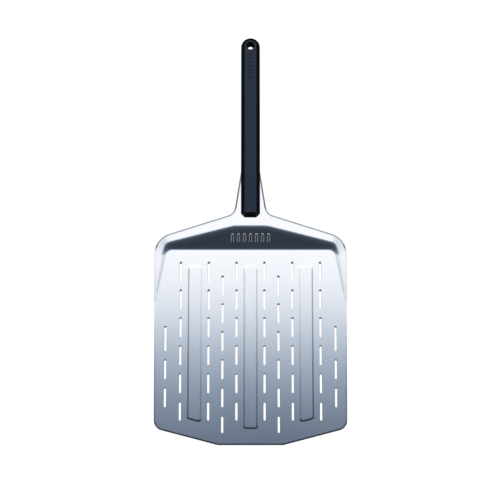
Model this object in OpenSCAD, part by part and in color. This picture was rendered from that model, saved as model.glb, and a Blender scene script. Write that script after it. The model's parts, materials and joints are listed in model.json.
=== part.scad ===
// Perforated pizza peel: a pressed aluminium blade whose tang is clamped between the two
// hollow shells of a moulded handle.
// Frame: the origin is the middle of the leading edge, on the plane that the blade rests on.
// +Y runs from the leading edge to the end of the handle, and +Z is the side that carries food.

/* [Blade outline] */
// Width of the blade across its rear corners
blade_w = 309; // [300:0.5:330]
// Width of the blade across its front corners
front_w = 305; // [296:0.5:326]
// Width of the straight leading edge
lead_w = 103; // [80:0.2:140]
// Distance that the front corners lie behind the leading edge
nose_l = 26.1; // [16:0.1:34]
// Distance from the leading edge to the rear corners
side_l = 326.7; // [324:0.1:332]
// Radius of the two front corners
front_corner_r = 16; // [6:0.5:24]
// Radius of the two rear corners
rear_corner_r = 33; // [15:0.5:40]
// Thickness of the sheet
sheet_t = 2; // [1.5:0.1:3]
// Width of the ground bevel along the front edges
bevel_w = 2.8; // [1:0.1:4]
// Thickness that the bevel leaves at the very edge
bevel_lip = 0.9; // [0.5:0.1:1.4]

/* [Neck and tang] */
// Rise of the shoulder edges towards the neck, in degrees
shoulder_angle = 16.5; // [14:0.1:18]
// Width of the neck where the shoulder edges reach it
neck_w = 52.2; // [46:0.2:56]
// Lean of the neck's sides, in degrees
neck_angle = 9.1; // [8.6:0.1:9.6]
// Radius between each shoulder and the neck
neck_fillet_r = 16; // [8:0.5:20]
// Distance from the leading edge to the end of the leaning sides
neck_end = 436; // [434:0.5:440]
// Width of the tang inside the handle
tang_w = 20; // [16:0.2:22]
// Distance from the leading edge to the end of the tang
tang_end = 526; // [520:1:540]

/* [Pressed form] */
// Distance from the leading edge to the foot of the ramp
ramp_foot = 310.2; // [308:0.1:311]
// Distance from the leading edge to the top of the ramp
ramp_head = 342; // [341:0.5:346]
// Height that the ramp lifts the neck above the blade
rise = 18; // [14:0.5:20]
// Width of the level neck at the top of the ramp
neck_flat_w = 53; // [48:0.5:58]
// Sideways fall of the shoulders, in millimetres per millimetre
shoulder_fall = 0.134; // [0.12:0.001:0.136]
// Where the outer edges of the side borders leave the ground, measured from the leading edge
border_start = 240; // [220:1:260]
// Rise of the side borders towards the rear, in millimetres per millimetre
border_rise = 0.012; // [0.01:0.001:0.014]
// Slope of the walls between the flat floor and the side borders, in degrees
border_wall_angle = 8; // [6:1:16]
// Number of plain bars raised on the ramp as decoration
ramp_bars = 7; // [1:1:9]

/* [Ribs] */
// Distance between the middles of neighbouring ribs
rib_pitch = 88.8; // [86:0.1:91]
// Width of a rib at its foot
rib_w = 22.4; // [18:0.1:23]
// Height of a rib above the blade
rib_h = 1.5; // [0.8:0.1:2]
// Width of a rib's sloping walls, seen from above
rib_wall_w = 2.4; // [1:0.1:3]
// Rear end of the ribs, measured from the leading edge
rib_rear = 284; // [270:0.5:290]
// Front end of the middle rib, measured from the leading edge
rib_front = 25.4; // [20:0.2:40]
// Front end of the outer ribs on their centre lines, measured from the leading edge
outer_rib_front = 38; // [34:0.2:50]

/* [Slots] */
// Distance between neighbouring columns of slots
column_pitch = 22.3; // [21.5:0.1:23]
// Distance between neighbouring slots of one column
row_pitch = 44.05; // [40:0.05:46]
// Length of a slot
slot_l = 29.2; // [20:0.1:34]
// Width of a slot
slot_w = 3.5; // [2:0.1:5]
// Rear end of the first slot in the odd columns, measured from the leading edge
slot_rear = 286.3; // [275:0.1:288]
// Number of slots in a full column
rows = 6; // [3:1:6]
// Extra length of the rearmost slot in the outermost columns
outer_slot_extra = 8.3; // [0:0.1:12]
// Distance that the outermost columns stand further out than their place in the pattern
outer_column_shift = 1.6; // [0:0.1:2]
// Length taken off the front of the foremost slots in the odd columns
odd_front_cut = 1.4; // [0:0.1:8]
// Length taken off the front of the foremost slots in the even columns
even_front_cut = 4.1; // [0:0.1:8]

/* [Handle] */
// Front end of the handle, measured from the leading edge
handle_start = 358.5; // [356:0.5:360]
// Rear end of the handle, measured from the leading edge
handle_end = 650.2; // [630:0.2:680]
// Width of the handle
handle_w = 30.3; // [28:0.1:32]
// Thickness of the handle
handle_t = 22; // [20:0.5:26]
// Width of the flat face on each side of the handle
face_w = 18.2; // [15:0.1:20]
// Height of the upright band along the handle's sides
band_h = 8; // [6:0.5:10]
// Length of the sloping chamfer at the front end
front_chamfer_l = 6.2; // [5:0.1:10]
// Width of the blunt front end
nose_w = 18.7; // [16:0.1:20]
// Wall thickness of the shells
shell_t = 2.4; // [2:0.1:3]
// Radius of the hanging hole
hang_hole_r = 5.5; // [4:0.1:6.5]
// Width of the chamfer round the mouths of the hanging hole
hang_hole_chamfer = 1.2; // [0.4:0.1:1.4]
// Number of plain bars sunk in the front face as decoration
face_bars = 7; // [0:1:8]

/* [Fasteners] */
// Thread diameter of the screws
screw_d = 4; // [3:0.5:4]
// Length of the screws under the head
screw_l = 16; // [14:0.5:16.5]
// Diameter of the screw heads
head_d = 7; // [6:0.1:7.6]
// Height of the screw heads
head_h = 3; // [2:0.1:3]
// Width across flats of the socket in the heads
socket_af = 2.5; // [2:0.5:3]
// Outer diameter of the threaded inserts
insert_d = 5.6; // [5.2:0.1:5.8]
// Length of the threaded inserts
insert_l = 6; // [4:0.5:6]

/* [Hidden] */
$fn = 48;
arc_steps = 8;
reach = 900;
gap = 0.1;
press_gap = 0.04;
overlap = 0.5;

// Heights of the neck sheet and of the plane where the shells meet
mid_z = rise + sheet_t / 2;

// Lean of the slanted front edges from the leading edge
nose_angle = atan(nose_l / ((front_w - lead_w) / 2));

// Shoulder and neck corners
shoulder_top = side_l + (blade_w - neck_w) / 2 * tan(shoulder_angle);
neck_end_w = neck_w - 2 * (neck_end - shoulder_top) * tan(neck_angle);
tang_step_l = 5;
tang_corner_r = 5;

// Line where the side walls of the pressing meet the floor, as two points on the +X side
wall_rear = [135.8, 300];
wall_front = [151.6, 226];

// Ribs and slots
rib_columns = [-1, 0, 1];
slot_columns = [1, 2, 3, 5, 6];
last_column = 6;
last_column_rows = [2, 4];

// Handle
hole_y = handle_end - handle_w / 2;
side_chamfer_w = (handle_w - face_w) / 2;
chamfer_h = (handle_t - band_h) / 2;
play = 0.3;
corner_lean = 45;
nose_wall = 3;
hollow_start = handle_start + front_chamfer_l + nose_wall;

// Fasteners: three screws through the tang and one beyond it
screw_distances = [29, 91, 153, 245];
screw_ys = [for (distance = screw_distances) handle_start + distance];
boss_wall = 1.7;
boss_r = insert_d / 2 + boss_wall;
tube_r = hang_hole_r + shell_t;
screw_hole_r = screw_d / 2 + play;
counterbore_r = head_d / 2 + play;
counterbore_l = head_h + play;
seat_z = mid_z - handle_t / 2 + counterbore_l;
insert_rest = sheet_t / 2 + play;
insert_hole_r = insert_d / 2 + press_gap;
shank_r = screw_d / 2 - press_gap;
screw_edge = 0.4;
socket_share = 0.6;
insert_groove = 0.3;

// Cross ribs inside the handle
cross_ribs = 8;
cross_rib_t = 1.6;
cross_rib_pitch = (hole_y - hollow_start) / (cross_ribs + 1);

// Decoration: bars sunk in the front face and raised on the ramp
mark_h = 0.5;
ramp_mark_h = 0.8;
bar_l = 8;
bar_w = 1.6;
bar_pitch = 6;
bar_start = 16;
ramp_bar_w = 4;
ramp_bar_l = 15;
ramp_bar_pitch = 9.6;
ramp_bar_start = 11;

function unit(v) = v / norm(v);

// Points of an arc of radius r that rounds corner b between the neighbours a and c
function round_corner(a, b, c, r) =
    let (u = unit(a - b), w = unit(c - b), half = acos(u * w) / 2,
         centre = b + unit(u + w) * r / sin(half),
         start = b + u * r / tan(half) - centre,
         end = b + w * r / tan(half) - centre,
         from = atan2(start.y, start.x),
         turn = (atan2(end.y, end.x) - from + 540) % 360 - 180)
    r == 0 ? [b] :
    [for (i = [0:arc_steps])
        let (angle = from + turn * i / arc_steps) centre + r * [cos(angle), sin(angle)]];

// Polygon whose corners are given as [x, y, radius]
module rounded_polygon(corners) {
    n = len(corners);
    function at(i) = let (c = corners[(i + n) % n]) [c.x, c.y];
    polygon([for (i = [0:n - 1]) each round_corner(at(i - 1), at(i), at(i + 1), corners[i].z)]);
}

function mirrored(right_side) =
    concat(right_side, [for (i = [len(right_side) - 1:-1:0]) let (c = right_side[i]) [-c.x, c.y, c.z]]);

module blade_outline() {
    rounded_polygon(mirrored([
        [lead_w / 2, 0, 0],
        [front_w / 2, nose_l, front_corner_r],
        [blade_w / 2, side_l, rear_corner_r],
        [neck_w / 2, shoulder_top, neck_fillet_r],
        [neck_end_w / 2, neck_end, 0],
        [tang_w / 2, neck_end + tang_step_l, 0],
        [tang_w / 2, tang_end, tang_corner_r]
    ]));
}

// Everything below a plane through a point, where the plane faces the plan direction
// (in degrees from +X) and falls away in that direction by the slope angle
module below_plane(point, direction, slope) {
    translate(point) rotate([0, 0, direction]) rotate([0, slope, 0])
        translate([-reach, -reach, -reach]) cube([2 * reach, 2 * reach, reach]);
}

// Everything below the pressed form, lifted by lift
module pressed_form(lift) {
    fall_angle = atan(shoulder_fall);
    ramp_angle = atan(rise / (ramp_head - ramp_foot));
    wall_run = wall_front - wall_rear;
    wall_direction = atan2(wall_run.y, wall_run.x) - 90;
    translate([0, 0, lift]) {
        below_plane([0, 0, 0], 0, 0);
        intersection() {
            below_plane([0, 0, rise], 0, 0);
            intersection_for(side = [-1, 1])
                below_plane([side * neck_flat_w / 2, 0, rise], side > 0 ? 0 : 180, fall_angle);
            intersection_for(side = [-1, 1]) side_border(side);
            union() {
                below_plane([0, ramp_foot, 0], -90, ramp_angle);
                for (side = [-1, 1])
                    below_plane([side * wall_rear.x, wall_rear.y, 0],
                        side > 0 ? wall_direction : 180 - wall_direction, border_wall_angle);
            }
        }
    }
}

// Everything below the plane of one side border, which rises to the rear and to the middle
module side_border(side) {
    direction = atan2(-border_rise, side * shoulder_fall);
    slope = atan(norm([border_rise, shoulder_fall]));
    below_plane([side * blade_w / 2, border_start, 0], direction, slope);
}

// A rib's solid with its foot on z = 0: sloping side walls, and ends square to the leading
// edge or parallel to the slanted front edge
module rib(x, front, front_angle, grow) {
    foot = rib_w / 2 + grow;
    top = foot - rib_wall_w;
    front_lean = atan(rib_h / rib_wall_w);
    intersection() {
        translate([x, 0, 0]) rotate([90, 0, 0]) mirror([0, 0, 1])
            linear_extrude(rib_rear + grow) polygon([[-foot, 0], [foot, 0], [top, rib_h], [-top, rib_h]]);
        below_plane([x, rib_rear + grow, 0], 90, front_lean);
        below_plane([x, front - grow, 0], -90 + front_angle, front_lean);
    }
}

module ribs(grow) {
    for (i = rib_columns)
        rib(i * rib_pitch, i == 0 ? rib_front : outer_rib_front, i * nose_angle, grow);
}

module slot(x, rear, length) {
    translate([x, rear - length / 2, -overlap]) linear_extrude(2 * overlap + sheet_t) {
        square([slot_w, length - slot_w], center = true);
        for (end = [-1, 1]) translate([0, end * (length - slot_w) / 2]) circle(d = slot_w);
    }
}

module slots() {
    for (side = [-1, 1], column = slot_columns) {
        is_last = column == last_column;
        is_odd = column % 2 == 1;
        x = column * column_pitch + (is_last ? outer_column_shift : 0);
        first = is_last ? last_column_rows[0] : 0;
        final = is_last ? last_column_rows[1] : rows - 1;
        for (row = [first:final]) {
            extra = is_last && row == first ? outer_slot_extra : 0;
            cut = row < rows - 1 ? 0 : is_odd ? odd_front_cut : even_front_cut;
            rear = slot_rear - (is_odd ? 0 : row_pitch / 2) - row * row_pitch;
            slot(side * x, rear + extra, slot_l + extra - cut);
        }
    }
}

// Material that the ground bevels remove along the leading edge and the slanted edges
module front_bevels() {
    bevel_angle = atan((sheet_t - bevel_lip) / bevel_w);
    corner = lead_w / 2;
    for (edge = [[0, 0], [corner, nose_angle], [-corner, -nose_angle]])
        translate([edge[0], 0, bevel_lip]) rotate([0, 0, edge[1]]) rotate([bevel_angle, 0, 0])
            translate([-reach / 2, -reach / 2, 0]) cube([reach, reach / 2 + 2 * bevel_w, 2 * sheet_t]);
}

// Plain bars pressed up from the ramp as decoration
module ramp_marks() {
    for (i = [0:ramp_bars - 1])
        translate([(i - (ramp_bars - 1) / 2) * ramp_bar_pitch, ramp_foot, sheet_t])
            rotate([atan(rise / (ramp_head - ramp_foot)), 0, 0])
                translate([-ramp_bar_w / 2, ramp_bar_start, -ramp_mark_h])
                    cube([ramp_bar_w, ramp_bar_l, 2 * ramp_mark_h]);
}

module blade() {
    color("silver") difference() {
        union() {
            intersection() {
                linear_extrude(2 * rise) blade_outline();
                difference() {
                    pressed_form(sheet_t);
                    pressed_form(0);
                }
            }
            translate([0, 0, sheet_t]) ribs(0);
            ramp_marks();
        }
        ribs(-rib_wall_w / 2);
        slots();
        front_bevels();
        for (y = screw_ys) translate([0, y, 0]) cylinder(r = screw_hole_r, h = 2 * rise);
    }
}

// Half of the handle's cross-section, x outwards and y up, shrunk by inset on every side
function handle_section(inset) =
    let (normal = unit([chamfer_h, side_chamfer_w]),
         side = handle_w / 2 - inset,
         band = band_h / 2 - inset * (1 - normal.x) / normal.y,
         face = face_w / 2 - inset * (1 - normal.y) / normal.x,
         top = handle_t / 2 - inset)
    [[0, -top], [face, -top], [side, -band], [side, band], [face, top], [0, top]];

// Bar with the handle's cross-section and a round rear end, from a start to the hanging hole
module handle_bar(start, inset) {
    translate([0, hole_y, mid_z]) {
        rotate_extrude($fn = 96) polygon(handle_section(inset));
        rotate([90, 0, 0]) linear_extrude(hole_y - start)
            for (side = [0, 1]) mirror([side, 0]) polygon(handle_section(inset));
    }
}

// Everything on the outer side of a plane through a point, whose normal points in a plan
// direction (in degrees from +X) and is raised by an elevation
module beyond_plane(point, direction, elevation) {
    translate(point) rotate([0, -elevation, direction])
        translate([0, -reach / 2, -reach / 2]) cube(reach);
}

module handle_form() {
    front_lean = atan(front_chamfer_l / chamfer_h);
    difference() {
        handle_bar(handle_start, 0);
        for (side = [-1, 1]) {
            direction = side * corner_lean - 90;
            beyond_plane([side * nose_w / 2, handle_start, mid_z], direction, 0);
            beyond_plane([0, handle_start, mid_z + side * band_h / 2], -90, side * front_lean);
            for (face = [-1, 1])
                beyond_plane([side * nose_w / 2, handle_start, mid_z + face * band_h / 2],
                    direction, face * corner_lean);
        }
    }
}

// Hollow inside the handle, leaving the bosses, the cross ribs and the tube of the hanging hole
module handle_hollow() {
    difference() {
        handle_bar(hollow_start, shell_t);
        for (y = screw_ys) translate([0, y, 0]) cylinder(r = boss_r, h = 2 * mid_z);
        translate([0, hole_y, 0]) cylinder(r = tube_r, h = 2 * mid_z);
        for (i = [1:cross_ribs])
            translate([-handle_w / 2, hollow_start + i * cross_rib_pitch - cross_rib_t / 2, 0])
                cube([handle_w, cross_rib_t, 2 * mid_z]);
    }
}

// Pocket that the neck and the tang fill
module tang_pocket() {
    wide = neck_end_w / 2 + play;
    narrow = tang_w / 2 + play;
    step_end = neck_end + tang_step_l + play;
    translate([0, 0, mid_z - sheet_t / 2 - gap]) linear_extrude(sheet_t + 2 * gap)
        polygon([[-wide, handle_start - play], [wide, handle_start - play], [wide, neck_end + play],
            [narrow, step_end], [narrow, tang_end + play], [-narrow, tang_end + play],
            [-narrow, step_end], [-wide, neck_end + play]]);
}

// Hanging hole with a chamfer at each mouth
module hanging_hole() {
    top = handle_t / 2;
    wide = hang_hole_r + hang_hole_chamfer;
    translate([0, hole_y, mid_z]) rotate_extrude($fn = 96)
        polygon([[0, -top - overlap], [wide + overlap, -top - overlap],
            [hang_hole_r, -top + hang_hole_chamfer], [hang_hole_r, top - hang_hole_chamfer],
            [wide + overlap, top + overlap], [0, top + overlap]]);
}

// One half of the hollow handle: upper keeps the side that carries food
module handle_half(upper) {
    difference() {
        handle_form();
        translate([-reach / 2, 0, upper ? mid_z - reach : mid_z]) cube(reach);
        handle_hollow();
        tang_pocket();
        hanging_hole();
    }
}

module handle_front_shell() {
    color("#2b3038") difference() {
        handle_half(true);
        for (y = screw_ys) translate([0, y, mid_z]) {
            cylinder(r = insert_hole_r, h = insert_rest + insert_l + play);
            cylinder(r = screw_hole_r, h = handle_t / 2 - shell_t);
        }
        for (i = [0:1:face_bars - 1])
            translate([-bar_l / 2, hole_y - bar_start - i * bar_pitch, mid_z + handle_t / 2 - mark_h])
                cube([bar_l, bar_w, 2 * mark_h]);
    }
}

module handle_back_shell() {
    color("#2b3038") difference() {
        handle_half(false);
        for (y = screw_ys) translate([0, y, 0]) {
            cylinder(r = screw_hole_r, h = mid_z + overlap);
            cylinder(r = counterbore_r, h = seat_z);
        }
    }
}

// Socket-head screw pointing up, with its head's seat on z = 0
module screw() {
    head_r = head_d / 2;
    difference() {
        rotate_extrude() polygon([[0, -head_h], [head_r - screw_edge, -head_h], [head_r, screw_edge - head_h],
            [head_r, 0], [shank_r, 0], [shank_r, screw_l - screw_edge], [shank_r - screw_edge, screw_l],
            [0, screw_l]]);
        translate([0, 0, -head_h - overlap])
            cylinder(d = socket_af / cos(30), h = head_h * socket_share + overlap, $fn = 6);
    }
}

module handle_screws() {
    color("gray") for (y = screw_ys) translate([0, y, seat_z]) screw();
}

// Ring with two raised bands that grip the moulded boss
module threaded_insert() {
    bore = screw_d / 2;
    outer = insert_d / 2;
    waist = outer - insert_groove;
    band = insert_l / 3;
    rotate_extrude() polygon([[bore, 0], [waist, 0], [outer, insert_groove], [outer, band],
        [waist, band + insert_groove], [waist, 2 * band - insert_groove], [outer, 2 * band],
        [outer, insert_l], [bore, insert_l]]);
}

module threaded_inserts() {
    color("goldenrod") for (y = screw_ys) translate([0, y, mid_z + insert_rest]) threaded_insert();
}

blade();
handle_front_shell();
handle_back_shell();
handle_screws();
threaded_inserts();
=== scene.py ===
import json
import math

import bpy
import numpy as np
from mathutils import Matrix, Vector
from mathutils.geometry import delaunay_2d_cdt


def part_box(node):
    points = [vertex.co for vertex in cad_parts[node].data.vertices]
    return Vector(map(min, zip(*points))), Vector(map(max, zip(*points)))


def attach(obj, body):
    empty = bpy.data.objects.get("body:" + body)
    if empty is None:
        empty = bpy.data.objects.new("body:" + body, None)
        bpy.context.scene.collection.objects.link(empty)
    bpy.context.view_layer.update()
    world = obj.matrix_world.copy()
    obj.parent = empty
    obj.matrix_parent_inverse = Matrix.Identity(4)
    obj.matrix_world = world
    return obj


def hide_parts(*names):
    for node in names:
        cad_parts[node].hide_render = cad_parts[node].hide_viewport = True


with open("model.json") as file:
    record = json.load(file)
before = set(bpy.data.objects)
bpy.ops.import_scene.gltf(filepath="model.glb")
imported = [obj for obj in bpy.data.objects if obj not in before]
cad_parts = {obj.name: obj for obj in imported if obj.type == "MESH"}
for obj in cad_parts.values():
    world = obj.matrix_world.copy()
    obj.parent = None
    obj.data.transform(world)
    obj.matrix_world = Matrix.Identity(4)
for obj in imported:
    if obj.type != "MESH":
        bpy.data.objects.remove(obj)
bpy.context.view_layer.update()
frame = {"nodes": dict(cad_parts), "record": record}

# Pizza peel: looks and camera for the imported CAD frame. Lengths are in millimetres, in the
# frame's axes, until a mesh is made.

MM = 0.001
BODY = "root"


# ---------------------------------------------------------------- sizes

def box_mm(node):
    """Lowest and highest corner of a CAD node."""
    low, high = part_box(node)
    return np.array(low) / MM, np.array(high) / MM


BLADE_LOW, BLADE_HIGH = box_mm("blade")
SHELL_LOW, SHELL_HIGH = box_mm("handle_front_shell")
BACK_LOW, _ = box_mm("handle_back_shell")
HOLE = next(m for m in frame["record"]["mounts"] if m["name"] == "hang_hole")

# Outline of the sheet, from the leading edge to the end of the tang
SHEET_T = 2.0
RISE = BLADE_HIGH[2] - SHEET_T
BLADE_W = 309.0
FRONT_W = 305.0
LEAD_W = 103.0
NOSE_L = 26.1
NOSE_SLANT = NOSE_L / ((FRONT_W - LEAD_W) / 2)
SIDE_L = 326.7
SHOULDER_SLOPE = math.tan(math.radians(16.5))
NECK_W = 52.2
NECK_LEAN = math.tan(math.radians(9.1))
NECK_END = 436.0
TANG_W = 20.0
TANG_STEP = 5.0
TANG_END = BLADE_HIGH[1]
SHOULDER_TOP = SIDE_L + (BLADE_W - NECK_W) / 2 * SHOULDER_SLOPE
NECK_END_W = NECK_W - 2 * (NECK_END - SHOULDER_TOP) * NECK_LEAN
LEAD_R = 5.0
FRONT_R = 16.0
REAR_R = 33.0
NECK_R = 16.0
TANG_STEP_R = 3.0
TANG_END_R = 5.0

# Pressed form: the ramp, the shoulders that fall from the neck, the borders along the sides and
# the two points of the line where the borders' inner walls meet the floor
RAMP_FOOT = 310.2
RAMP_HEAD = 342.0
NECK_FLAT = 26.5
FALL = 0.134
BORDER_START = 240.0
BORDER_RISE = 0.012
WALL_REAR = np.array([135.8, 300.0])
WALL_FRONT = np.array([151.6, 226.0])
WALL_SLOPE = math.tan(math.radians(12))
# The walls grow steeper where they run into the ends of the ramp
CORNER_SLOPE = math.tan(math.radians(25))
CORNER_START = 299.0
CORNER_LENGTH = 14.0
# The side borders keep only a share of their height in front of the rear corners
BORDER_SHARE = 0.5
BORDER_FULL_FROM, BORDER_FULL_TO = 298.0, 340.0
BORDER_SIDE_FROM, BORDER_SIDE_TO = 124.0, 142.0

# Heights over which neighbouring faces of the pressed form run into each other
FOOT_BLEND = 1.5
HEAD_BLEND = 2.8
WALL_BLEND = 4.0
WALL_FOOT_BLEND = 0.2
BORDER_BLEND = 0.5
NECK_BLEND = 0.8
SHOULDER_BLEND = 0.3
# Where the ramp's head is low, its blend is limited to this share of the height
HEAD_BLEND_SHARE = 0.8

# Ribs: the plan size is that of the line halfway up their walls
RIB_PITCH = 88.8
RIB_W = 20.1
RIB_H = 1.5
RIB_REAR = 281.8
RIB_FRONT = 26.7
OUTER_RIB_FRONT = 39.3
RIB_FRONT_R = 3.4
RIB_REAR_R = 5.2
RIB_SIDE_WALL = 5.4
RIB_FRONT_WALL = 3.2
RIB_REAR_WALL = 6.0

# Vent slots: columns are numbered outwards from the centre line, rows forwards from the ramp.
# Even columns stand half a row further forward.
COLUMN_PITCH = 22.3
OUTER_COLUMN_SHIFT = 1.6
ROW_PITCH = 44.05
SLOT_L = 29.2
SLOT_W = 3.5
SLOT_REAR = 286.3
ROWS = 6
OUTER_SLOT_EXTRA = 8.3
ODD_FRONT_CUT = 1.4
EVEN_FRONT_CUT = 4.1
SLOT_COLUMNS = (1, 2, 3, 5, 6)
LAST_COLUMN = 6
LAST_COLUMN_ROWS = (2, 3, 4)

# Plain bars: raised on the ramp, sunk in the handle's face. The ramp's lengths are measured
# along its slope and shortened to their plan.
RAMP_SHARE = (RAMP_HEAD - RAMP_FOOT) / math.hypot(RAMP_HEAD - RAMP_FOOT, RISE)
RAMP_BARS = 7
RAMP_BAR_W = 4.0
RAMP_BAR_L = 15.0 * RAMP_SHARE
RAMP_BAR_PITCH = 9.6
RAMP_BAR_START = 11.0 * RAMP_SHARE
RAMP_BAR_R = 1.4
RAMP_BAR_WALL = 1.1
RAMP_BAR_SHIFT = 0.12
RAMP_MARK_H = 0.8
FACE_BARS = 7
FACE_BAR_L = 8.0
FACE_BAR_W = 1.6
FACE_BAR_R = 0.7
FACE_BAR_PITCH = 6.0
FACE_BAR_START = 16.0
FACE_BAR_WALL = 0.45
FACE_BAR_SHIFT = 0.125
MARK_H = 0.5
# How finely the ribs and bars are divided: the angle of a step round their corners, and the
# length of a piece of a bar's sides
RIB_ARC_STEP = math.radians(12)
BAR_ARC_STEP = math.radians(22)
RAMP_BAR_SPACING = 2.5
FACE_BAR_SPACING = 3.0

# Handle
HANDLE_START = SHELL_LOW[1]
HANDLE_END = SHELL_HIGH[1]
HANDLE_W = SHELL_HIGH[0] - SHELL_LOW[0]
MID_Z = SHELL_LOW[2]
HALF_T = SHELL_HIGH[2] - SHELL_LOW[2]
HOLE_Y = HOLE["pos_m"][1] / MM
HOLE_R = HOLE["dims"]["r_mm"]
HOLE_CHAMFER = 1.2
HOLE_SOFT = 0.25
FACE_W = 18.2
FACE_NOSE_CUT = 2.2
FACE_NOSE_R = 0.8
BAND_H = 4.0
NOSE_W = 18.7
NOSE_R = 1.6
NOSE_CHAMFER = 6.2
SIDE_CHAMFER = (HANDLE_W - FACE_W) / 2
EDGE_SOFT = 0.9
# Flat that is kept beyond the softened edge of the face and beyond the mouth of the hole
FACE_FLAT = EDGE_SOFT * 1.1
HOLE_FLAT = 0.3
# Small chamfer where the two shells meet: its width and its height
SEAM_W = 0.35
SEAM_H = 0.3

# Fasteners, and the play round the tang in its pocket and behind the inserts
POCKET_PLAY = 0.3
POCKET_GAP = 0.1
SCREW_R = 2.3
COUNTERBORE_R = 3.8
HEAD_H = 3.0
INSERT_R = 2.84
INSERT_PLAY = 0.5
# Length by which a cutter reaches past the face that it opens
CUT_PAST = 1.0
# Steps round a screw hole in the sheet, and round a hole that is cut into a shell
SCREW_HOLE_STEPS = 32
CUTTER_STEPS = 48


# ---------------------------------------------------------------- plan outlines

def unit(v):
    """The vector with a length of one."""
    return v / np.hypot(*v)


def corner_arcs(corners):
    """Arcs that round a polygon whose corners are (x, y, radius): start, end, centre, radius,
    first angle, turn, and whether the corner is convex. The corners run anticlockwise."""
    arcs = []
    for i, (x, y, radius) in enumerate(corners):
        here = np.array([x, y])
        before = unit(np.array(corners[i - 1][:2]) - here)
        after = unit(np.array(corners[(i + 1) % len(corners)][:2]) - here)
        half = math.acos(np.clip(before @ after, -1, 1)) / 2
        convex = before[1] * after[0] - before[0] * after[1] > 0
        centre = here + unit(before + after) * radius / math.sin(half)
        reach = radius / math.tan(half)
        start, end = here + before * reach, here + after * reach
        first = math.atan2(*(start - centre)[::-1])
        turn = (math.atan2(*(end - centre)[::-1]) - first + math.pi) % math.tau - math.pi
        arcs.append((start, end, centre, radius, first, turn, convex))
    return arcs


def rounded_loop(corners, spacing=6.0, arc_step=math.radians(7)):
    """Points round a polygon with rounded corners, and their outward normals. Straight
    stretches are divided evenly."""
    points, normals = [], []
    arcs = corner_arcs(corners)
    for i, (_, end, centre, radius, first, turn, convex) in enumerate(arcs):
        steps = max(2, math.ceil(abs(turn) / arc_step))
        for k in range(steps + 1):
            a = first + turn * k / steps
            spoke = np.array([math.cos(a), math.sin(a)])
            points.append(centre + radius * spoke)
            normals.append(spoke if convex else -spoke)
        target = arcs[(i + 1) % len(arcs)][0]
        length = np.hypot(*(target - end))
        pieces = math.ceil(length / spacing)
        along = unit(target - end)
        for k in range(1, pieces):
            points.append(end + along * length * k / pieces)
            normals.append(np.array([along[1], -along[0]]))
    return np.array(points), np.array(normals)


def matched_loop(corners, steps, pieces):
    """Points of a rounded polygon with a fixed number of steps in every arc and of pieces in
    every side, so that two such loops can be joined."""
    points = []
    arcs = corner_arcs(corners)
    for i, (_, end, centre, radius, first, turn, _) in enumerate(arcs):
        for k in range(steps[i] + 1):
            a = first + turn * k / steps[i]
            points.append(centre + radius * np.array([math.cos(a), math.sin(a)]))
        target = arcs[(i + 1) % len(arcs)][0]
        for k in range(1, pieces[i]):
            points.append(end + (target - end) * k / pieces[i])
    return np.array(points)


def mirrored(right_side):
    """Corners (x, y, radius) of the right side, followed by those of the left side."""
    return right_side + [(-x, y, r) for x, y, r in reversed(right_side)]


def blade_loop():
    """Outline of the whole sheet."""
    return rounded_loop(mirrored([
        (LEAD_W / 2, 0.0, LEAD_R),
        (FRONT_W / 2, NOSE_L, FRONT_R),
        (BLADE_W / 2, SIDE_L, REAR_R),
        (NECK_W / 2, SHOULDER_TOP, NECK_R),
        (NECK_END_W / 2, NECK_END, TANG_STEP_R),
        (TANG_W / 2, NECK_END + TANG_STEP, TANG_STEP_R),
        (TANG_W / 2, TANG_END, TANG_END_R),
    ]))


def rib_corners(index):
    """Corners of a rib, with the front end parallel to the blade's front edge."""
    x = index * RIB_PITCH
    half = RIB_W / 2
    front = OUTER_RIB_FRONT if index else RIB_FRONT
    slant = index * NOSE_SLANT * half
    return [(x - half, front - slant, RIB_FRONT_R), (x + half, front + slant, RIB_FRONT_R),
            (x + half, RIB_REAR, RIB_REAR_R), (x - half, RIB_REAR, RIB_REAR_R)]


def bar_corners(x, low, width, length, radius):
    """Corners of a bar from its middle's x and its front end's y."""
    half = width / 2
    return [(x - half, low, radius), (x + half, low, radius),
            (x + half, low + length, radius), (x - half, low + length, radius)]


def slot_places():
    """(x, y of the middle, length) of every slot."""
    places = []
    for column in SLOT_COLUMNS:
        last, odd = column == LAST_COLUMN, column % 2 == 1
        x = column * COLUMN_PITCH + (OUTER_COLUMN_SHIFT if last else 0.0)
        rows = LAST_COLUMN_ROWS if last else range(ROWS)
        for row in rows:
            extra = OUTER_SLOT_EXTRA if last and row == rows[0] else 0.0
            front_cut = ODD_FRONT_CUT if odd else EVEN_FRONT_CUT
            cut = front_cut if row == ROWS - 1 else 0.0
            rear = SLOT_REAR - (0 if odd else ROW_PITCH / 2) - row * ROW_PITCH + extra
            length = SLOT_L + extra - cut
            places += [(side * x, rear - length / 2, length) for side in (-1, 1)]
    return places


# ---------------------------------------------------------------- heights

def smooth_max(a, b, k):
    """The larger of two heights, rounded where they differ by less than k."""
    k = np.maximum(k, 1e-9)
    return np.maximum(a, b) + np.maximum(k - np.abs(a - b), 0) ** 2 / (4 * k)


def smooth_min(a, b, k):
    """The smaller of two heights, rounded in the same way."""
    return -smooth_max(-a, -b, k)


def smooth_step(t):
    """Rises from 0 to 1 with level ends while t does."""
    t = np.clip(t, 0, 1)
    return t * t * (3 - 2 * t)


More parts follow.
